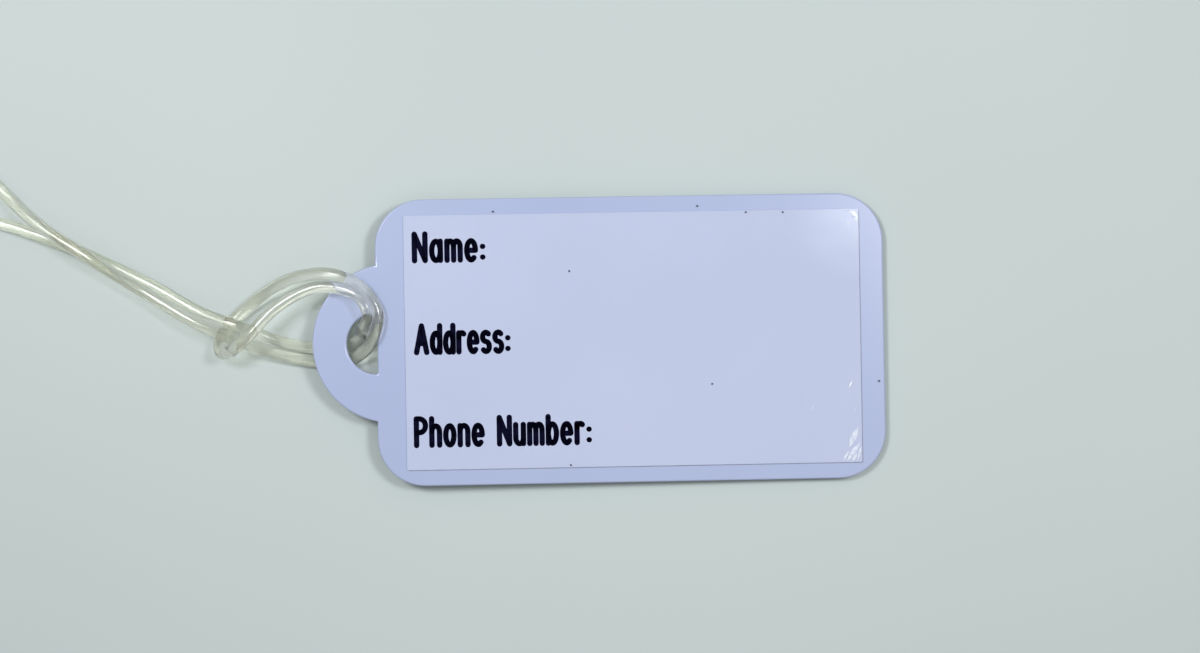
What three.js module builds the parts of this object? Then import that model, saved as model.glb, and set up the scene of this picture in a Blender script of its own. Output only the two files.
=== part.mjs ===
// A luggage tag lying label side up on a flat surface: a rounded plastic plate with a tab at one end,
// a laminated address label on the plate, and a clear vinyl strap hitched through the tab's D-shaped
// hole. Millimetres. +X runs along the plate away from the strap, +Z points up, and the surface that
// the tag lies on is Z = 0. The origin is under the middle of the plate.
import * as THREE from "three";

// ---- plate ----
const BODY_LENGTH = 101.6;
const BODY_WIDTH = 57.15;
const CORNER_RADIUS = 9.5;
const PLATE_THICKNESS = 2;
const EDGE_ROUND = 0.3;
const TAB_REACH = 12.7; // how far the tab stands out past the body's end
const TAB_RADIUS = 15.9;
const HOLE_RADIUS = 6.15;
const HOLE_FLAT_INSET = 0.25; // the hole's flat side lies this far inside the body's end
const HOLE_CORNER = 0.5;
const ARC_STEPS = 10;

// ---- label, measured from the middle of the body ----
const LABEL_LENGTH = 91;
const LABEL_WIDTH = 50.7;
const LABEL_SHIFT = 0.45; // the label sits this far towards the plain end
const LABEL_CORNER = 0.3;
const ADHESIVE_THICKNESS = 0.05;
const SHEET_THICKNESS = 0.1;
const FILM_THICKNESS = 0.05;
const LAYER_GAP = 0.02;

// ---- strap ----
const STRAP_RADIUS = 1.2;
const STRAP_SIDES = 8;
const HITCH_STEPS = 62;
const LOOP_STEPS = 22;
const JOINT_GAP = 0.3; // between the two stretches of the strap where it bends
const BEND_POINT = new THREE.Vector3(-84, 8.2, 0); // where the strap bends up, between its two strands
const BEND_HEADING = new THREE.Vector3(-0.87, 0.49, 0).normalize();

// The plate leans on the strands under its tab, so its plain end touches the surface.
const REST_TILT = THREE.MathUtils.degToRad(1.55);

const plateLength = BODY_LENGTH + TAB_REACH;
const endX = plateLength / 2;
const bodyStartX = -endX + TAB_REACH;
const bodyMiddleX = bodyStartX + BODY_LENGTH / 2;
const tabCentreX = -endX + TAB_RADIUS;
const halfWidth = BODY_WIDTH / 2;
const holeFlatX = bodyStartX + HOLE_FLAT_INSET;

// The strap's centreline is one closed loop, as [x, y, z]. It starts at the far closed end.
const STRAP_ROUTE = [
  // first strand, from the far end to the tab
  [-135.7, 35.6, 1.25],
  [-134.5, 30.3, 1.25],
  [-128.6, 27.7, 1.25],
  [-116, 24.2, 1.25],
  [-102.5, 18.7, 1.25],
  [-90, 12.6, 1.4],
  [-79.9, 6.9, 2.7],
  [-71.5, 3.7, 3.9],
  [-63.2, 0.4, 1.9],
  // under the tab's rim and up through the hole
  [-54, -1.1, 1.25],
  [-50.8, -0.7, 1.3],
  [-48.2, 0.7, 3.2],
  [-46.9, 2.8, 6.5],
  // back over the tab, as the hitch's upper leg, and over both strands
  [-45.6, 5.5, 8],
  [-47.5, 9.5, 8.3],
  [-55.2, 11.4, 7.2],
  [-63.4, 7.8, 6.9],
  [-69.9, 1.5, 7.2],
  // the hitch's closed end
  [-73.3, -1.2, 6.5],
  [-75.4, -1.3, 4.2],
  [-76, 0.6, 2.2],
  [-74.7, 3.5, 1.4],
  // under both strands and over the tab again, as the hitch's lower leg
  [-69.3, 8.6, 1.35],
  [-61.6, 13.1, 3.8],
  [-53.5, 14, 6],
  [-47, 11.2, 6.3],
  [-43.9, 5.9, 6.2],
  // down through the hole and out under the rim
  [-44.8, 1.3, 5.95],
  [-46.6, -1.2, 3.6],
  [-49.7, -3.2, 1.35],
  [-54, -3.7, 1.25],
  // second strand, back to the far end; it crosses over the first
  [-63.2, -2.2, 1.9],
  [-72.3, 1.1, 3.95],
  [-80.4, 4.8, 4.35],
  [-90.7, 11, 3.2],
  [-102, 18.3, 3.9],
  [-113, 25.7, 2.85],
  [-119, 31.4, 1.6],
  [-125.2, 37.3, 1.25],
  [-131.6, 39.4, 1.25],
];

function surface(color, roughness, opacity = 1) {
  return new THREE.MeshStandardMaterial({
    color,
    roughness,
    metalness: 0,
    opacity,
    transparent: opacity < 1,
  });
}

function named(name, geometry, material) {
  const mesh = new THREE.Mesh(geometry, material);
  mesh.name = name;
  return mesh;
}

function plateOutline() {
  const outline = new THREE.Shape();
  const right = endX - CORNER_RADIUS;
  const left = bodyStartX + CORNER_RADIUS;
  const top = halfWidth - CORNER_RADIUS;
  const tabHalfChord = Math.sqrt(TAB_RADIUS ** 2 - (bodyStartX - tabCentreX) ** 2);
  const tabAngle = Math.atan2(tabHalfChord, bodyStartX - tabCentreX);
  outline.absarc(right, -top, CORNER_RADIUS, -Math.PI / 2, 0);
  outline.absarc(right, top, CORNER_RADIUS, 0, Math.PI / 2);
  outline.absarc(left, top, CORNER_RADIUS, Math.PI / 2, Math.PI);
  outline.absarc(tabCentreX, 0, TAB_RADIUS, tabAngle, 2 * Math.PI - tabAngle);
  outline.absarc(left, -top, CORNER_RADIUS, Math.PI, 1.5 * Math.PI);
  outline.closePath();
  return outline;
}

// A half disc whose round side faces the tab's outer end, with small radii at its two corners.
function holeOutline() {
  const hole = new THREE.Path();
  const cornerX = holeFlatX - HOLE_CORNER;
  const cornerY = Math.sqrt((HOLE_RADIUS - HOLE_CORNER) ** 2 - HOLE_CORNER ** 2);
  const roundStart = Math.atan2(cornerY, -HOLE_CORNER);
  hole.absarc(holeFlatX, 0, HOLE_RADIUS, roundStart, 2 * Math.PI - roundStart);
  hole.absarc(cornerX, -cornerY, HOLE_CORNER, 2 * Math.PI - roundStart, 2 * Math.PI);
  hole.absarc(cornerX, cornerY, HOLE_CORNER, 0, roundStart);
  hole.closePath();
  return hole;
}

function tagPlate() {
  const outline = plateOutline();
  outline.holes.push(holeOutline());
  const geometry = new THREE.ExtrudeGeometry(outline, {
    depth: PLATE_THICKNESS - 2 * EDGE_ROUND,
    bevelEnabled: true,
    bevelThickness: EDGE_ROUND,
    bevelSize: EDGE_ROUND,
    bevelOffset: -EDGE_ROUND,
    bevelSegments: 1,
    curveSegments: ARC_STEPS,
  });
  geometry.translate(0, 0, EDGE_ROUND);
  return named("tag_plate", geometry, surface(0xb7c3e2, 0.3));
}

// One flat layer of the label, from height z up.
function labelLayer(name, z, thickness, material) {
  const x = LABEL_LENGTH / 2 - LABEL_CORNER;
  const y = LABEL_WIDTH / 2 - LABEL_CORNER;
  const outline = new THREE.Shape();
  outline.absarc(x, y, LABEL_CORNER, 0, Math.PI / 2);
  outline.absarc(-x, y, LABEL_CORNER, Math.PI / 2, Math.PI);
  outline.absarc(-x, -y, LABEL_CORNER, Math.PI, 1.5 * Math.PI);
  outline.absarc(x, -y, LABEL_CORNER, 1.5 * Math.PI, 2 * Math.PI);
  outline.closePath();
  const geometry = new THREE.ExtrudeGeometry(outline, {
    depth: thickness,
    bevelEnabled: false,
    curveSegments: 2,
  });
  geometry.translate(bodyMiddleX + LABEL_SHIFT, 0, z);
  return named(name, geometry, material);
}

// The adhesive, the printed sheet and the clear film over it, one on the other.
function labelLayers() {
  const adhesiveZ = PLATE_THICKNESS + LAYER_GAP;
  const sheetZ = adhesiveZ + ADHESIVE_THICKNESS + LAYER_GAP;
  const filmZ = sheetZ + SHEET_THICKNESS + LAYER_GAP;
  return [
    labelLayer("label_adhesive", adhesiveZ, ADHESIVE_THICKNESS, surface(0xe8e6da, 0.6, 0.6)),
    labelLayer("label_sheet", sheetZ, SHEET_THICKNESS, surface(0xc3cce8, 0.45)),
    labelLayer("label_film", filmZ, FILM_THICKNESS, surface(0xf4f7ff, 0.08, 0.2)),
  ];
}

// The part of a closed curve between two fractions of its length; to may pass 1.
class Stretch extends THREE.Curve {
  constructor(loop, from, to) {
    super();
    this.loop = loop;
    this.from = from;
    this.to = to;
  }

  getPoint(t, target = new THREE.Vector3()) {
    const fraction = this.from + (this.to - this.from) * t;
    return this.loop.getPointAt(fraction % 1, target);
  }
}

// The fraction of the loop's length at which it crosses the bend's plane, between two fractions.
function bendFraction(loop, low, high) {
  const ahead = (fraction) => loop.getPointAt(fraction).sub(BEND_POINT).dot(BEND_HEADING);
  const lowSide = Math.sign(ahead(low));
  const HALVINGS = 40;
  for (let i = 0; i < HALVINGS; i++) {
    const middle = (low + high) / 2;
    if (Math.sign(ahead(middle)) === lowSide) low = middle;
    else high = middle;
  }
  return low;
}

function strapTube(name, path, steps) {
  const corners = [];
  for (let i = 0; i < STRAP_SIDES; i++) {
    const angle = (2 * Math.PI * i) / STRAP_SIDES;
    corners.push(new THREE.Vector2(STRAP_RADIUS * Math.cos(angle), STRAP_RADIUS * Math.sin(angle)));
  }
  const geometry = new THREE.ExtrudeGeometry(new THREE.Shape(corners), { steps, extrudePath: path });
  return named(name, geometry, surface(0xd5dace, 0.2, 0.5));
}

// The strap in two stretches: the hitch around the tab, and the free loop that a handle goes through.
function strapStretches() {
  const points = STRAP_ROUTE.map((point) => new THREE.Vector3(...point));
  const loop = new THREE.CatmullRomCurve3(points, true);
  loop.arcLengthDivisions = 2000;
  const firstStrandEnd = 0.3;
  const secondStrandStart = 0.7;
  const bendIn = bendFraction(loop, 0, firstStrandEnd);
  const bendOut = bendFraction(loop, secondStrandStart, 1);
  const inset = JOINT_GAP / 2 / loop.getLength();
  const hitch = new Stretch(loop, bendIn + inset, bendOut - inset);
  const free = new Stretch(loop, bendOut + inset, 1 + bendIn - inset);
  return [strapTube("strap_hitch", hitch, HITCH_STEPS), strapTube("strap_loop", free, LOOP_STEPS)];
}

const labelledPlate = new THREE.Group();
labelledPlate.rotation.y = REST_TILT;
labelledPlate.position.x = (-PLATE_THICKNESS / 2) * Math.sin(REST_TILT);
labelledPlate.position.z = (endX - EDGE_ROUND) * Math.sin(REST_TILT);
labelledPlate.add(tagPlate(), ...labelLayers());

const group = new THREE.Group();
group.add(labelledPlate, ...strapStretches());

export default group;
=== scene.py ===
"""A luggage tag lying on a pale table, its clear strap hitched through the tab's D-shaped hole.

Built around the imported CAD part, in the same frame: +X along the plate away from the strap, +Z up,
and the table at Z = 0. Lengths are written in millimetres and turned into metres with MM, apart from
those that are marked as metres.
"""
import math

import bpy
import numpy as np
from mathutils import Matrix, Vector


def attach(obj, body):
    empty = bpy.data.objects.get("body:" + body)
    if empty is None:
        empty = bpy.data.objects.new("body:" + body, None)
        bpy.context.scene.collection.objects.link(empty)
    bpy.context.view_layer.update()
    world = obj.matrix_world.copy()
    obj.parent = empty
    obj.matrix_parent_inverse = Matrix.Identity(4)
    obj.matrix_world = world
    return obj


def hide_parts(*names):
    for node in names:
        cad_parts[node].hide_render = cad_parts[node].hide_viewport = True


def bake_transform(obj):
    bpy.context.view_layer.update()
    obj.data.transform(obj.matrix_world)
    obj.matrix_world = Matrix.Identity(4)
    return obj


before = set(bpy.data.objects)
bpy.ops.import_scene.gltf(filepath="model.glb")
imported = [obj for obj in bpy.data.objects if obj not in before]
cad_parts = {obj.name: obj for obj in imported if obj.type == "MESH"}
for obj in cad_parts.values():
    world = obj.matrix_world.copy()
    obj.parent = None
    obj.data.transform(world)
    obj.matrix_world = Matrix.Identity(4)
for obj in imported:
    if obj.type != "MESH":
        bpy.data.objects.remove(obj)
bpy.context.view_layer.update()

MM = 0.001
QUARTER_TURN = math.pi / 2
SHARP_ANGLE = math.radians(40)  # edges that turn by more than this are shaded as sharp

# ---- plate, in its own frame: the middle of the plate's length and width, its back at Z = 0 ----
BODY_LENGTH = 101.6
BODY_WIDTH = 57.15
CORNER_RADIUS = 9.5
PLATE_THICKNESS = 2.0
EDGE_ROUND = 0.35  # a little more than the CAD's broken edge
TAB_REACH = 12.7  # how far the tab stands out past the body's end
TAB_RADIUS = 15.9
HOLE_RADIUS = 6.15
HOLE_FLAT_INSET = 0.25  # the hole's flat side lies this far inside the body's end
HOLE_CORNER = 0.5
CAD_EDGE_ROUND = 0.3
REST_TILT = math.radians(1.55)  # the tab rests on the strap's strands

PLATE_LENGTH = BODY_LENGTH + TAB_REACH
END_X = PLATE_LENGTH / 2
BODY_START_X = -END_X + TAB_REACH
TAB_CENTRE_X = -END_X + TAB_RADIUS
HOLE_FLAT_X = BODY_START_X + HOLE_FLAT_INSET
BODY_MIDDLE_X = BODY_START_X + BODY_LENGTH / 2

# ---- label, measured from the middle of the plate's body ----
LABEL_LENGTH = 91.0
LABEL_WIDTH = 50.7
LABEL_SHIFT = 0.45
LABEL_CORNER = 0.3
LABEL_X = BODY_MIDDLE_X + LABEL_SHIFT
PAINTED_SHEEN_RADIUS = 14.0  # of the painted sheen: a pale patch at the label's upper right-hand corner, standing in for the lamp's reflection there
SHADOW_RIM_SHIFT = 0.15  # moves the adhesive right and down, so that its dark grey shows as a rim along the label's right and lower edges: a painted shadow of the label's edge
ADHESIVE_THICKNESS = 0.09
SHEET_THICKNESS = 0.10
INK_RAISE = 0.003  # the ink lies this far above the sheet
FILM_GAP = 0.01
LABEL_THICKNESS = 0.26
ADHESIVE_TOP = PLATE_THICKNESS + ADHESIVE_THICKNESS
SHEET_TOP = ADHESIVE_TOP + SHEET_THICKNESS
INK_HEIGHT = SHEET_TOP + INK_RAISE
FILM_BOTTOM = SHEET_TOP + FILM_GAP
FILM_TOP = PLATE_THICKNESS + LABEL_THICKNESS

# ---- strap ----
STRAP_DIAMETER = 2.4
STRAP_RING_SPACING = 0.5
STRAP_SIDES = 20

# The strap's centreline is one closed loop, as (x, y, z) in mm. It starts at the far closed end.
STRAP_ROUTE = [
    # first strand, from the far end to the tab
    (-135.7, 35.6, 1.25),
    (-134.5, 30.3, 1.25),
    (-128.6, 27.7, 1.25),
    (-116.0, 24.2, 1.25),
    (-102.5, 18.7, 1.25),
    (-90.0, 12.6, 1.4),
    (-79.9, 6.9, 2.7),
    (-71.5, 3.7, 3.9),
    (-63.2, 0.4, 1.9),
    # under the tab's rim and up through the hole
    (-54.0, -1.1, 1.25),
    (-50.8, -0.7, 1.3),
    (-48.2, 0.7, 3.2),
    (-46.9, 2.8, 6.5),
    # back over the tab, as the hitch's upper leg, and over both strands
    (-45.6, 5.5, 8.0),
    (-47.5, 9.5, 8.3),
    (-55.2, 11.4, 7.2),
    (-63.4, 7.8, 6.9),
    (-69.9, 1.5, 7.2),
    # the hitch's closed end
    (-73.3, -1.2, 6.5),
    (-75.4, -1.3, 4.2),
    (-76.0, 0.6, 2.2),
    (-74.7, 3.5, 1.4),
    # under both strands and over the tab again, as the hitch's lower leg
    (-69.3, 8.6, 1.35),
    (-61.6, 13.1, 3.8),
    (-53.5, 14.0, 6.0),
    (-47.0, 11.2, 6.3),
    (-43.9, 5.9, 6.2),
    # down through the hole and out under the rim
    (-44.8, 1.3, 5.95),
    (-46.6, -1.2, 3.6),
    (-49.7, -3.2, 1.35),
    (-54.0, -3.7, 1.25),
    # second strand, back to the far end; it crosses over the first
    (-63.2, -2.2, 1.9),
    (-72.3, 1.1, 3.95),
    (-80.4, 4.8, 4.35),
    (-90.7, 11.0, 3.2),
    (-102.0, 18.3, 3.9),
    (-113.0, 25.7, 2.85),
    (-119.0, 31.4, 1.6),
    (-125.2, 37.3, 1.25),
    (-131.6, 39.4, 1.25),
]


# ======== helpers ========
def link(name, data):
    obj = bpy.data.objects.new(name, data)
    bpy.context.scene.collection.objects.link(obj)
    return obj


def mesh_object(name, vertices, faces):
    mesh = bpy.data.meshes.new(name)
    mesh.from_pydata([tuple(v) for v in vertices], [], faces)
    mesh.update()
    return link(name, mesh)


def smooth(obj):
    obj.data.shade_smooth()
    obj.data.set_sharp_from_angle(angle=SHARP_ANGLE)


def in_metres(points):
    return [Vector(point) * MM for point in points]


def linear(red, green, blue):
    """A colour on the 0 to 255 display scale, as linear RGBA by the sRGB curve."""
    channels = []
    for value in (red, green, blue):
        share = value / 255
        channels.append(share / 12.92 if share <= 0.04045 else ((share + 0.055) / 1.055) ** 2.4)
    return (*channels, 1.0)


def grey(brightness):
    return (brightness, brightness, brightness, 1.0)


def on_plate():
    """The matrix from the plate's own frame, in metres, to the row frame."""
    lift = (END_X - CAD_EDGE_ROUND) * math.sin(REST_TILT)
    shift = -PLATE_THICKNESS / 2 * math.sin(REST_TILT)
    return Matrix.Translation((shift * MM, 0, lift * MM)) @ Matrix.Rotation(REST_TILT, 4, "Y")


def arc(centre_x, centre_y, radius, start, end, steps=16):
    """Points along an arc, from the start angle to the end angle in radians."""
    angles = np.linspace(start, end, steps + 1)
    return [(centre_x + radius * math.cos(a), centre_y + radius * math.sin(a)) for a in angles]


# ======== materials ========
def new_material(name, **sockets):
    """A material with one Principled shader; its sockets are given by name, with _ for a space."""
    material = bpy.data.materials.new(name)
    material.use_nodes = True
    shader = material.node_tree.nodes["Principled BSDF"]
    for socket, value in sockets.items():
        shader.inputs[socket.replace("_", " ")].default_value = value
    return material


def add_node(material, kind, **values):
    node = material.node_tree.nodes.new(kind)
    for name, value in values.items():
        node.inputs[name].default_value = value
    return node


def join(material, output, target):
    material.node_tree.links.new(output, target)


def principled(material):
    return material.node_tree.nodes["Principled BSDF"]


def add_noise(material, scale, detail=2.0, coordinates="Object", stretch=(1, 1, 1)):
    """A noise texture's output, on the piece's own coordinates in metres or on its UV ones."""
    place = add_node(material, "ShaderNodeTexCoord")
    mapping = add_node(material, "ShaderNodeMapping", Scale=stretch)
    noise = add_node(material, "ShaderNodeTexNoise", Scale=scale, Detail=detail)
    join(material, place.outputs[coordinates], mapping.inputs["Vector"])
    join(material, mapping.outputs["Vector"], noise.inputs["Vector"])
    return noise.outputs["Fac"]


NOISE_LOW, NOISE_HIGH = 0.35, 0.65  # most of a noise texture's values lie between these


def add_ramp(material, factor, low_colour, high_colour):
    """Turns a noise texture's output into a colour between two."""
    ramp = add_node(material, "ShaderNodeValToRGB")
    ramp.color_ramp.elements[0].position = NOISE_LOW
    ramp.color_ramp.elements[0].color = low_colour
    ramp.color_ramp.elements[1].position = NOISE_HIGH
    ramp.color_ramp.elements[1].color = high_colour
    join(material, factor, ramp.inputs["Fac"])
    return ramp.outputs["Color"]


def set_stops(ramp, stops):
    """Gives a colour ramp grey stops, each a position and a brightness."""
    while len(ramp.elements) < len(stops):
        ramp.elements.new(0.5)
    for element, (position, brightness) in zip(ramp.elements, stops):
        element.position = position
        element.color = grey(brightness)


def add_bump(material, height, strength, distance):
    bump = add_node(material, "ShaderNodeBump", Strength=strength, Distance=distance)
    join(material, height, bump.inputs["Height"])
    join(material, bump.outputs["Normal"], principled(material).inputs["Normal"])


def let_light_through(material, shadow_colour):
    """Puts a see-through shader in for shadow rays, so that light reaches what is under a clear piece."""
    output = material.node_tree.nodes["Material Output"]
    path = add_node(material, "ShaderNodeLightPath")
    clear = add_node(material, "ShaderNodeBsdfTransparent", Color=shadow_colour)
    mix = add_node(material, "ShaderNodeMixShader")
    join(material, path.outputs["Is Shadow Ray"], mix.inputs[0])
    join(material, principled(material).outputs["BSDF"], mix.inputs[1])
    join(material, clear.outputs["BSDF"], mix.inputs[2])
    join(material, mix.outputs["Shader"], output.inputs["Surface"])


def plate_material():
    material = new_material("plate_gloss", Roughness=0.22)
    patches = add_noise(material, scale=18)
    tone = add_ramp(material, patches, linear(163, 174, 206), linear(167, 178, 209))
    join(material, tone, principled(material).inputs["Base Color"])
    add_bump(material, add_noise(material, scale=900, detail=3), strength=0.05, distance=0.00002)
    return material


def adhesive_shadow_rim_material():
    # Dark grey: where it shows as a rim beside the label, it is a painted shadow of the label's edge.
    material = new_material("adhesive_painted_shadow_rim", Roughness=0.5)
    patches = add_noise(material, scale=400)
    tone = add_ramp(material, patches, linear(120, 126, 146), linear(134, 140, 160))
    join(material, tone, principled(material).inputs["Base Color"])
    return material


# The colour sockets of a Mix node, which share their names with its number and vector sockets.
MIX_COLOUR_A, MIX_COLOUR_B, MIX_COLOUR_RESULT = 6, 7, 2


def add_cloud(material, centre, radius, scale):
    """A patchy cloud that fades out from its centre; centre and radius are in metres."""
    place = add_node(material, "ShaderNodeTexCoord")
    offset = [-value / radius for value in centre]
    mapping = add_node(material, "ShaderNodeMapping", Location=offset, Scale=(1 / radius,) * 3)
    fade = add_node(material, "ShaderNodeTexGradient")
    fade.gradient_type = "SPHERICAL"
    patches = add_node(material, "ShaderNodeMath")
    patches.operation = "MULTIPLY"
    join(material, place.outputs["Object"], mapping.inputs["Vector"])
    join(material, mapping.outputs["Vector"], fade.inputs["Vector"])
    join(material, fade.outputs["Fac"], patches.inputs[0])
    join(material, add_noise(material, scale=scale, detail=4), patches.inputs[1])
    return patches.outputs["Value"]


def sheet_material():
    """Smooth paper, with a painted sheen at the label's upper right-hand corner: a pale patch in the
    paper's colour that stands in for the lamp's reflection.
    """
    material = new_material("label_sheet_paper", Roughness=0.6, IOR=1.15)
    patches = add_noise(material, scale=25)
    tone = add_ramp(material, patches, linear(182, 191, 216), linear(186, 194, 219))
    corner = ((LABEL_X + LABEL_LENGTH / 2) * MM, LABEL_WIDTH / 2 * MM, SHEET_TOP * MM)
    # Painted sheen: the paper turns paler towards the label's upper right-hand corner, standing in for
    # the lamp's reflection there.
    painted_sheen = add_node(material, "ShaderNodeMix")
    painted_sheen.data_type = "RGBA"
    painted_sheen.inputs[MIX_COLOUR_B].default_value = linear(224, 232, 252)
    sheen_mask = add_cloud(material, corner, PAINTED_SHEEN_RADIUS * MM, scale=160)
    join(material, sheen_mask, painted_sheen.inputs["Factor"])
    join(material, tone, painted_sheen.inputs[MIX_COLOUR_A])
    join(material, painted_sheen.outputs[MIX_COLOUR_RESULT], principled(material).inputs["Base Color"])
    return material


def ink_material():
    material = new_material("printed_ink", Roughness=0.6, IOR=1.05)
    patches = add_noise(material, scale=1500)
    tone = add_ramp(material, patches, linear(10, 10, 33), linear(14, 14, 40))
    join(material, tone, principled(material).inputs["Base Color"])
    return material


def film_material():
    """A clear film that only its gloss shows: a mirror-like shader mixed into a see-through one.

    Layer Weight's Facing is the same on both sides of the film, so light passes through it both ways.
    """
    material = new_material("laminating_film", Base_Color=(1, 1, 1, 1), Metallic=1.0, Roughness=0.06)
    add_bump(material, add_noise(material, scale=60), strength=0.1, distance=0.0001)
    tilt = add_node(material, "ShaderNodeLayerWeight", Blend=0.5)
    gloss = add_node(material, "ShaderNodeValToRGB")
    stops = ((0.0, 0.015), (0.3, 0.02), (0.5, 0.05), (0.75, 0.16), (0.9, 0.4), (1.0, 0.8))
    set_stops(gloss.color_ramp, stops)
    clear = add_node(material, "ShaderNodeBsdfTransparent", Color=grey(0.99))
    mix = add_node(material, "ShaderNodeMixShader")
    join(material, tilt.outputs["Facing"], gloss.inputs["Fac"])
    join(material, gloss.outputs["Color"], mix.inputs[0])
    join(material, clear.outputs["BSDF"], mix.inputs[1])
    join(material, principled(material).outputs["BSDF"], mix.inputs[2])
    output = material.node_tree.nodes["Material Output"]
    join(material, mix.outputs["Shader"], output.inputs["Surface"])
    return material


def strap_material():
    """Slightly cloudy clear vinyl, with streaks along the strap."""
    material = new_material("clear_vinyl", IOR=1.5, Transmission_Weight=0.95, Specular_IOR_Level=0.1)
    streaks = add_noise(material, scale=6, detail=3, coordinates="UV", stretch=(4, 0.4, 1))
    tone = add_ramp(material, streaks, linear(229, 230, 221), linear(240, 240, 233))
    join(material, tone, principled(material).inputs["Base Color"])
    rough = add_ramp(material, streaks, grey(0.08), grey(0.18))
    join(material, rough, principled(material).inputs["Roughness"])
    let_light_through(material, (0.46, 0.46, 0.42, 1))
    return material


def table_material():
    material = new_material("pale_table", Roughness=0.6)
    patches = add_noise(material, scale=6)
    tone = add_ramp(material, patches, linear(179, 190, 189), linear(182, 193, 192))
    join(material, tone, principled(material).inputs["Base Color"])
    return material


# ======== camera: straight above the tag, and turned a little, as in the picture ========
CAMERA_HEIGHT = 420.0
CAMERA_MIDDLE = (0.2, 2.64)
CAMERA_TURN = math.radians(-0.97)
CAMERA_LENS = 62.56

camera_data = bpy.data.cameras.new("camera")
camera_data.lens = CAMERA_LENS
camera_data.clip_start = 0.01  # metres
camera_data.clip_end = 20  # metres
camera = link("camera", camera_data)
camera.location = (CAMERA_MIDDLE[0] * MM, CAMERA_MIDDLE[1] * MM, CAMERA_HEIGHT * MM)
camera.rotation_euler = (0, 0, CAMERA_TURN)
bpy.context.scene.camera = camera


# ======== strap ========
def smooth_loop(points, steps_per_span=24):
    """The closed centripetal Catmull-Rom curve through the points, as many short steps."""
    points = np.array(points, float)
    count = len(points)
    samples = []
    for i in range(count):
        before, start, end, after = (points[(i + k) % count] for k in (-1, 0, 1, 2))
        gap_before = np.linalg.norm(start - before) ** 0.5
        gap = np.linalg.norm(end - start) ** 0.5
        gap_after = np.linalg.norm(after - end) ** 0.5
        slope_start = (start - before) / gap_before - (end - before) / (gap_before + gap)
        slope_start = (slope_start + (end - start) / gap) * gap
        slope_end = (end - start) / gap - (after - start) / (gap + gap_after)
        slope_end = (slope_end + (after - end) / gap_after) * gap
        for step in range(steps_per_span):
            t = step / steps_per_span
            square = (-3 * start + 3 * end - 2 * slope_start - slope_end) * t**2
            cube = (2 * start - 2 * end + slope_start + slope_end) * t**3
            samples.append(start + slope_start * t + square + cube)
    return np.array(samples)


def even_loop(samples, spacing):
    """A closed line's points, spaced evenly."""
    closed = np.vstack([samples, samples[:1]])
    lengths = np.linalg.norm(np.diff(closed, axis=0), axis=1)
    travelled = np.concatenate([[0], np.cumsum(lengths)])
    count = round(travelled[-1] / spacing)
    wanted = np.arange(count) * travelled[-1] / count
    return np.stack([np.interp(wanted, travelled, closed[:, k]) for k in range(3)], 1)


def untwisted_frames(line):
    """Two unit vectors across a closed line at each point, turning as little as they can."""
    count = len(line)
    tangents = np.roll(line, -1, 0) - np.roll(line, 1, 0)
    tangents /= np.linalg.norm(tangents, axis=1)[:, None]
    across = np.cross(tangents[0], (0, 0, 1))
    sides = []
    for tangent in [*tangents, tangents[0]]:
        across = across - tangent * (across @ tangent)
        across /= np.linalg.norm(across)
        sides.append(across)
    up = np.cross(tangents[0], sides[0])
    twist = math.atan2(sides[-1] @ up, sides[-1] @ sides[0])
    firsts, seconds = [], []
    for i in range(count):
        second = np.cross(tangents[i], sides[i])
        turn = -twist * i / count
        firsts.append(sides[i] * math.cos(turn) + second * math.sin(turn))
        seconds.append(second * math.cos(turn) - sides[i] * math.sin(turn))
    return np.array(firsts), np.array(seconds)


def closed_tube(name, line, radius, sides):
    """A round tube along a closed line, with no caps."""
    firsts, seconds = untwisted_frames(line)
    rings = len(line)
    vertices = []
    for i in range(rings):
        for k in range(sides):
            angle = 2 * math.pi * k / sides
            offset = firsts[i] * math.cos(angle) + seconds[i] * math.sin(angle)
            vertices.append(line[i] + offset * radius)
    faces = []
    for i in range(rings):
        ring, following = i * sides, (i + 1) % rings * sides
        for k in range(sides):
            after = (k + 1) % sides
            faces.append((ring + k, ring + after, following + after, following + k))
    tube = mesh_object(name, vertices, faces)
    tube_coordinates(tube, rings, sides)
    tube.data.shade_smooth()
    return tube


def tube_coordinates(tube, rings, sides):
    """UVs: around the tube from 0 to 1, and along it in rings from 0 to 1."""
    layer = tube.data.uv_layers.new(name="UVMap")
    corner = 0
    for i in range(rings):
        for k in range(sides):
            for along, around in ((0, 0), (0, 1), (1, 1), (1, 0)):
                layer.data[corner].uv = ((k + around) / sides, (i + along) / rings)
                corner += 1


route = smooth_loop(STRAP_ROUTE)
strap_line = even_loop(route, STRAP_RING_SPACING) * MM
strap = closed_tube("strap", strap_line, STRAP_DIAMETER / 2 * MM, STRAP_SIDES)
strap.data.materials.append(strap_material())

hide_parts("strap_hitch")
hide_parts("strap_loop")
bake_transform(strap)


# ======== plate ========
def slab(name, outlines, bottom, top, edge=0.0):
    """A flat piece in the plate's frame, from its outline and its holes' outlines, with rounded edges."""
    curve = bpy.data.curves.new(name, "CURVE")
    curve.dimensions = "2D"
    curve.fill_mode = "BOTH"
    for outline in outlines:
        spline = curve.splines.new("POLY")
        spline.points.add(len(outline) - 1)
        for point, (x, y) in zip(spline.points, outline):
            point.co = (x * MM, y * MM, 0, 1)
        spline.use_cyclic_u = True
    curve.extrude = ((top - bottom) / 2 - edge) * MM
    curve.bevel_depth = edge * MM
    curve.bevel_resolution = 3
    curve.offset = -edge * MM
    drawn = link(name + "_outline", curve)
    bpy.context.view_layer.update()
    finished = drawn.evaluated_get(bpy.context.evaluated_depsgraph_get())
    shape = bpy.data.meshes.new_from_object(finished)
    bpy.data.objects.remove(drawn)
    shape.transform(Matrix.Translation((0, 0, (bottom + top) / 2 * MM)))
    piece = link(name, shape)
    smooth(piece)
    return piece


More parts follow.
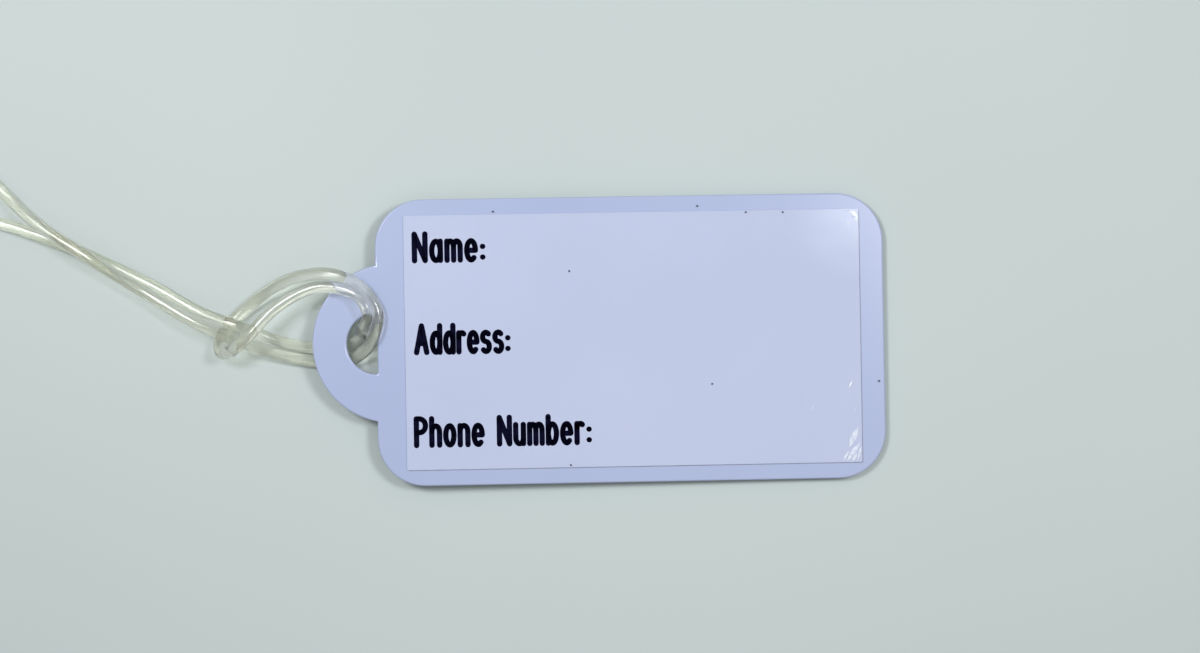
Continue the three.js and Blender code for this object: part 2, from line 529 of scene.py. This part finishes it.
def plate_outline():
    right = END_X - CORNER_RADIUS
    left = BODY_START_X + CORNER_RADIUS
    top = BODY_WIDTH / 2 - CORNER_RADIUS
    half_chord = math.sqrt(TAB_RADIUS**2 - (BODY_START_X - TAB_CENTRE_X) ** 2)
    tab_angle = math.atan2(half_chord, BODY_START_X - TAB_CENTRE_X)
    return (
        arc(right, -top, CORNER_RADIUS, -QUARTER_TURN, 0)
        + arc(right, top, CORNER_RADIUS, 0, QUARTER_TURN)
        + arc(left, top, CORNER_RADIUS, QUARTER_TURN, math.pi)
        + arc(TAB_CENTRE_X, 0, TAB_RADIUS, tab_angle, 2 * math.pi - tab_angle, steps=72)
        + arc(left, -top, CORNER_RADIUS, math.pi, 3 * QUARTER_TURN)
    )


def hole_outline():
    """A half disc whose round side faces the tab's outer end, with small radii at its two corners."""
    corner_x = HOLE_FLAT_X - HOLE_CORNER
    corner_y = math.sqrt((HOLE_RADIUS - HOLE_CORNER) ** 2 - HOLE_CORNER**2)
    start = math.atan2(corner_y, -HOLE_CORNER)
    return (
        arc(HOLE_FLAT_X, 0, HOLE_RADIUS, start, 2 * math.pi - start, steps=48)
        + arc(corner_x, -corner_y, HOLE_CORNER, 2 * math.pi - start, 2 * math.pi, steps=6)
        + arc(corner_x, corner_y, HOLE_CORNER, 0, start, steps=6)
    )


def lay_on_plate(piece, material):
    piece.data.materials.append(material)
    piece.matrix_world = on_plate()
    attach(piece, "tag")


plate = slab("plate", [plate_outline(), hole_outline()], 0, PLATE_THICKNESS, EDGE_ROUND)
lay_on_plate(plate, plate_material())
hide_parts("tag_plate")


# ======== label ========
def label_outline(shift=0.0):
    """The label's outline, which a shift in millimetres moves to the right and down."""
    x = LABEL_LENGTH / 2 - LABEL_CORNER
    y = LABEL_WIDTH / 2 - LABEL_CORNER
    corners = ((x, y, 0), (-x, y, 1), (-x, -y, 2), (x, -y, 3))
    outline = []
    for corner_x, corner_y, turns in corners:
        centre_x = LABEL_X + corner_x + shift
        centre_y = corner_y - shift
        start = turns * QUARTER_TURN
        outline += arc(centre_x, centre_y, LABEL_CORNER, start, start + QUARTER_TURN, steps=5)
    return outline


# The adhesive's grey rim beside the label's right and lower edges is a painted shadow of the label's
# edge.
adhesive = slab("adhesive", [label_outline(SHADOW_RIM_SHIFT)], PLATE_THICKNESS, ADHESIVE_TOP)
lay_on_plate(adhesive, adhesive_shadow_rim_material())
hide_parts("label_adhesive")

sheet = slab("printed_sheet", [label_outline()], ADHESIVE_TOP, SHEET_TOP)
lay_on_plate(sheet, sheet_material())
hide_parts("label_sheet")

film = slab("clear_film", [label_outline()], FILM_BOTTOM, FILM_TOP)
lay_on_plate(film, film_material())
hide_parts("label_film")

# ======== crinkles near the film's right-hand edge, where air lifts it, with a painted glint, and specks of dust ===
CRINKLE_HEIGHT = 0.06
SPECK_RADIUS = 0.19
SPECK_HEIGHT = 0.08  # above the film

# Each crinkle is (x, y) at one end, (x, y) at the other, and its width, in the plate's frame.
FILM_CRINKLES = [
    ((51.6, -18.2), (49.7, -22.3), 1.2),
    ((51.9, -21.4), (49.2, -25.1), 0.9),
    ((51.3, -23.6), (50.2, -25.2), 0.6),
    ((49.8, -22.9), (48.3, -25.2), 0.55),
    ((52.1, -22.2), (51.3, -25.2), 0.5),
    ((50.6, -8.9), (49.8, -10.6), 0.3),
    ((51.2, -13.9), (51.0, -15.6), 0.16),
    ((42.7, -13.6), (42.2, -15.3), 0.25),
    ((41.5, -12.3), (41.0, -13.3), 0.2),
    ((50.3, 25.2), (52.2, 23.3), 1.1),
    ((48.8, 25.2), (51.2, 25.0), 0.3),
    ((51.1, 24.5), (52.1, 22.4), 0.6),
    ((49.6, 23.0), (50.5, 22.0), 0.35),
    ((51.3, 21.2), (51.8, 19.3), 0.28),
    ((50.6, 18.1), (51.3, 16.6), 0.18),
]
# Each speck is (x, y) in the plate's frame.
SPECKS = [
    (-5.8, 13.8),
    (-6.1, -24.9),
    (22.4, -9.2),
    (55.9, -9.2),
    (-20.8, 25.9),
    (20.0, 26.4),
    (29.7, 25.0),
    (37.1, 24.9),
]


def crinkle_glint_material():
    # The crinkles are real raised film; their bright bluish white is a painted glint, standing in for the
    # light they reflect.
    material = new_material("film_crinkle_painted_glint", Roughness=0.25, Alpha=0.8)
    patches = add_noise(material, scale=1200, detail=4)
    tone = add_ramp(material, patches, linear(206, 216, 240), linear(240, 246, 255))
    join(material, tone, principled(material).inputs["Base Color"])
    return material


def dust_material():
    material = new_material("dust", Roughness=0.8)
    patches = add_noise(material, scale=300)
    tone = add_ramp(material, patches, linear(48, 50, 68), linear(70, 72, 92))
    join(material, tone, principled(material).inputs["Base Color"])
    return material


def film_crinkles():
    """Long low blisters with pointed ends, all in one mesh."""
    steps = 12
    vertices, faces = [], []
    for (x0, y0), (x1, y1), width in FILM_CRINKLES:
        length = math.hypot(x1 - x0, y1 - y0)
        side_x, side_y = -(y1 - y0) / length, (x1 - x0) / length
        first = len(vertices)
        for step in range(steps + 1):
            share = step / steps
            half = width / 2 * math.sin(math.pi * share)
            x, y = x0 + (x1 - x0) * share, y0 + (y1 - y0) * share
            vertices.append((x - side_x * half, y - side_y * half, FILM_TOP))
            vertices.append((x, y, FILM_TOP + CRINKLE_HEIGHT * math.sin(math.pi * share)))
            vertices.append((x + side_x * half, y + side_y * half, FILM_TOP))
        for step in range(steps):
            corner = first + step * 3
            faces.append((corner, corner + 3, corner + 4, corner + 1))
            faces.append((corner + 1, corner + 4, corner + 5, corner + 2))
    return mesh_object("film_crinkles", in_metres(vertices), faces)


# ======== captions: a plain narrow stroke alphabet, in shares of the capital height ========
LOW_HEIGHT = 0.72  # height of the small letters, in the same shares
INK_WIDTH = 1.1
CAPITAL_HEIGHT = 5.3
LETTER_GAP = 0.26  # between two letters' strokes, in shares of the capital height

# Each caption is its piece's name, its words, its left-hand end, its baseline and its width.
CAPTIONS = [
    ("caption_name", "Name:", -37.1, 15.8, 14.8),
    ("caption_address", "Address:", -37.0, -2.5, 19.4),
    ("caption_phone", "Phone Number:", -37.3, -21.0, 35.6),
]


def oval(centre_x, centre_y, half_width, half_height, start, end, steps=14):
    """Points along part of an oval, with the angles in degrees."""
    points = []
    for angle in np.radians(np.linspace(start, end, steps + 1)):
        points.append((centre_x + half_width * math.cos(angle), centre_y + half_height * math.sin(angle)))
    return points


def arch(left, width):
    """A rounded arch of small-letter height, from its left stem to the foot of its right one."""
    rise = LOW_HEIGHT * 0.3
    over = oval(left + width / 2, LOW_HEIGHT - rise, width / 2, rise, 180, 0)
    return over + [(left + width, 0)]


def bowl(left, width):
    return oval(left + width / 2, LOW_HEIGHT / 2, width / 2, LOW_HEIGHT / 2, 0, 360, steps=28)


def letter_strokes():
    """Each letter's strokes and width; a letter stands on 0 and starts at 0."""
    low, half = LOW_HEIGHT, LOW_HEIGHT / 2
    return {
        "N": ([[(0, 0), (0, 1), (0.42, 0), (0.42, 1)]], 0.42),
        "A": ([[(0, 0), (0.24, 1), (0.46, 0)], [(0.08, 0.34), (0.38, 0.34)]], 0.46),
        "P": ([[(0, 0), (0, 1)] + oval(0.12, 0.74, 0.26, 0.26, 90, -90) + [(0, 0.48)]], 0.38),
        "a": ([bowl(0, 0.34), [(0.34, low), (0.34, 0)]], 0.34),
        "b": ([bowl(0, 0.34), [(0, 1), (0, 0)]], 0.34),
        "d": ([bowl(0, 0.34), [(0.34, 1), (0.34, 0)]], 0.34),
        "e": ([[(0, half), (0.34, half)] + oval(0.17, half, 0.17, half, 0, 310, steps=24)], 0.34),
        "h": ([[(0, 1), (0, 0)], arch(0, 0.32)], 0.32),
        "m": ([[(0, low), (0, 0)], arch(0, 0.26), arch(0.26, 0.26)], 0.52),
        "n": ([[(0, low), (0, 0)], arch(0, 0.32)], 0.32),
        "o": ([bowl(0, 0.34)], 0.34),
        "r": ([[(0, low), (0, 0)], oval(0.14, low * 0.72, 0.14, low * 0.28, 180, 50)], 0.22),
        "s": (
            [
                oval(0.15, low * 0.76, 0.15, low * 0.24, 40, 270)
                + oval(0.15, low * 0.26, 0.15, low * 0.26, 90, -140)
            ],
            0.3,
        ),
        "u": (
            [
                [(0, low)] + oval(0.16, low * 0.3, 0.16, low * 0.3, 180, 360) + [(0.32, low)],
                [(0.32, low), (0.32, 0)],
            ],
            0.32,
        ),
        ":": ([[(0.02, 0.1), (0.03, 0.1)], [(0.02, 0.5), (0.03, 0.5)]], 0.05),
        " ": ([], 0.2),
    }


def ink_faces(strokes, half_width, height):
    """Flat faces for strokes of one width, with round ends and joins, in millimetres.

    A stroke of one point is a dot.
    """
    disc_sides = 12
    vertices, faces = [], []
    for stroke in strokes:
        for x, y in stroke:
            first = len(vertices)
            for px, py in arc(x, y, half_width, 0, 2 * math.pi, disc_sides)[:-1]:
                vertices.append((px, py, height))
            faces.append(tuple(range(first, first + disc_sides)))
        for (x0, y0), (x1, y1) in zip(stroke, stroke[1:]):
            length = math.hypot(x1 - x0, y1 - y0)
            if length == 0:
                continue
            side_x, side_y = -(y1 - y0) / length * half_width, (x1 - x0) / length * half_width
            first = len(vertices)
            vertices.append((x0 - side_x, y0 - side_y, height))
            vertices.append((x1 - side_x, y1 - side_y, height))
            vertices.append((x1 + side_x, y1 + side_y, height))
            vertices.append((x0 + side_x, y0 + side_y, height))
            faces.append((first, first + 1, first + 2, first + 3))
    return vertices, faces


def caption(name, words, left, baseline, width, material):
    """Prints words on the sheet, stretched to the width; left and baseline are in the plate's frame."""
    letters = letter_strokes()
    strokes, pen = [], 0.0
    for letter in words:
        drawn, letter_width = letters[letter]
        strokes += [[(x + pen, y) for x, y in stroke] for stroke in drawn]
        pen += letter_width + LETTER_GAP
    half = INK_WIDTH / 2
    across = (width - INK_WIDTH) / (pen - LETTER_GAP)
    start, foot = left + half, baseline + half
    placed = [[(start + x * across, foot + y * CAPITAL_HEIGHT) for x, y in stroke] for stroke in strokes]
    vertices, faces = ink_faces(placed, half, INK_HEIGHT)
    piece = mesh_object(name, in_metres(vertices), faces)
    lay_on_plate(piece, material)


ink = ink_material()
for name, words, left, baseline, width in CAPTIONS:
    caption(name, words, left, baseline, width, ink)

dots = [[place] for place in SPECKS]
speck_vertices, speck_faces = ink_faces(dots, SPECK_RADIUS, FILM_TOP + SPECK_HEIGHT)
specks = mesh_object("dust_specks", in_metres(speck_vertices), speck_faces)
lay_on_plate(specks, dust_material())

crinkles = film_crinkles()
lay_on_plate(crinkles, crinkle_glint_material())

# ======== table and light ========
TABLE_SIZE = 3.0  # metres
TABLE_DROP = 0.1  # the table lies this far under Z = 0, clear of the part
WORLD_STRENGTH = 0.53

half_table = TABLE_SIZE / 2
table_corners = []
for x, y in ((-1, -1), (1, -1), (1, 1), (-1, 1)):
    table_corners.append((x * half_table, y * half_table, -TABLE_DROP * MM))
table = mesh_object("table", table_corners, [(0, 1, 2, 3)])
table.data.materials.append(table_material())


def area_light(name, place, size, power):
    """A soft square lamp, aimed at the middle of the tag; its place and size are in metres."""
    data = bpy.data.lights.new(name, "AREA")
    data.size = size
    data.energy = power
    lamp = link(name, data)
    lamp.location = place
    lamp.rotation_euler = Vector(place).to_track_quat("Z", "Y").to_euler()
    # The strap's shadow rays already let this light through, so it isn't also seen through the strap.
    lamp.visible_transmission = False


area_light("light_right", place=(0.21, 0.08, 0.43), size=0.1, power=0.97)
area_light("light_left", place=(-0.19, 0.13, 0.43), size=0.11, power=1.18)


def studio_world():
    """Soft light from all round, strongest in a ring high above the tag and dark straight overhead."""
    world = bpy.data.worlds.new("studio")
    world.use_nodes = True
    tree = world.node_tree
    direction = tree.nodes.new("ShaderNodeTexCoord")
    split = tree.nodes.new("ShaderNodeSeparateXYZ")
    ramp = tree.nodes.new("ShaderNodeValToRGB")
    stops = ((0.0, 0.3), (0.35, 0.4), (0.7, 0.85), (0.93, 1.2), (0.965, 0.6), (0.98, 0.03))
    set_stops(ramp.color_ramp, stops)
    tree.links.new(direction.outputs["Generated"], split.inputs["Vector"])
    tree.links.new(split.outputs["Z"], ramp.inputs["Fac"])
    tree.links.new(ramp.outputs["Color"], tree.nodes["Background"].inputs["Color"])
    tree.nodes["Background"].inputs["Strength"].default_value = WORLD_STRENGTH
    bpy.context.scene.world = world


studio_world()
bpy.context.scene.view_settings.view_transform = "Standard"
